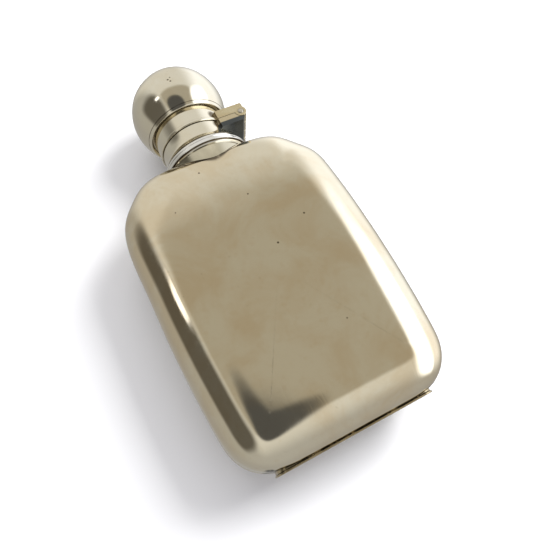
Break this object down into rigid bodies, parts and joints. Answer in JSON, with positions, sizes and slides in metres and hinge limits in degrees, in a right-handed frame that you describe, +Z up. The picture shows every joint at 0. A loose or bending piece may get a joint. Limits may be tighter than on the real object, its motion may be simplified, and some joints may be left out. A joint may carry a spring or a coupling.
{
  "type": "hip flask",
  "caption": "Flat pebble-shaped metal pocket flask on an oblong foot, with a round hollow cap that turns to unlock and swings open on a side hinge.",
  "frame": {"origin": "middle of the foot's lower edge, the lowest point of the flask standing upright", "axes": "+Z up along the flask towards the cap, +X across the width towards the cap's hinge, -Y towards the front panel"},
  "size_m": [0.066, 0.03, 0.1273],
  "materials": {
    "plated_body": "worn bright silver plate, warm tone",
    "plated_fittings": "bright silver plate on the neck, rings and ball",
    "hinge_metal": "nickel-silver hinge leaves, satin from wear",
    "pin_metal": "dull hinge pin",
    "inner_metal": "unplated white metal inside the cap and mouth",
    "cork": "natural cork, slightly darkened"
  },
  "bodies": {
    "flask": {"front_shell": "plated_body", "back_shell": "plated_body", "foot_rim": "plated_body", "neck_collar": "plated_fittings", "neck_ring": "plated_fittings", "mouth_tube": "inner_metal", "mouth_ramps": "inner_metal", "lower_leaf": "hinge_metal", "hinge_pin": "pin_metal"},
    "lid": {"upper_leaf": "hinge_metal", "cap_ring": "plated_fittings", "cap_bead": "plated_fittings"},
    "ball": {"ball_dome": "plated_fittings", "ball_floor": "inner_metal", "cap_sleeve": "inner_metal", "sleeve_lugs": "inner_metal", "retaining_ring": "inner_metal", "cork_cup": "inner_metal", "cork_disc": "cork"}
  },
  "joints": [
    {"name": "cap_hinge", "type": "hinge", "parent": "flask", "child": "lid", "pos_m": [0.0152, 0, 0.0984], "axis": [0, 1, 0], "range_deg": [0, 115]},
    {"name": "cap_twist", "type": "hinge", "parent": "lid", "child": "ball", "pos_m": [0, 0, 0.1], "axis": [0, 0, -1], "range_deg": [0, 90]}
  ]
}
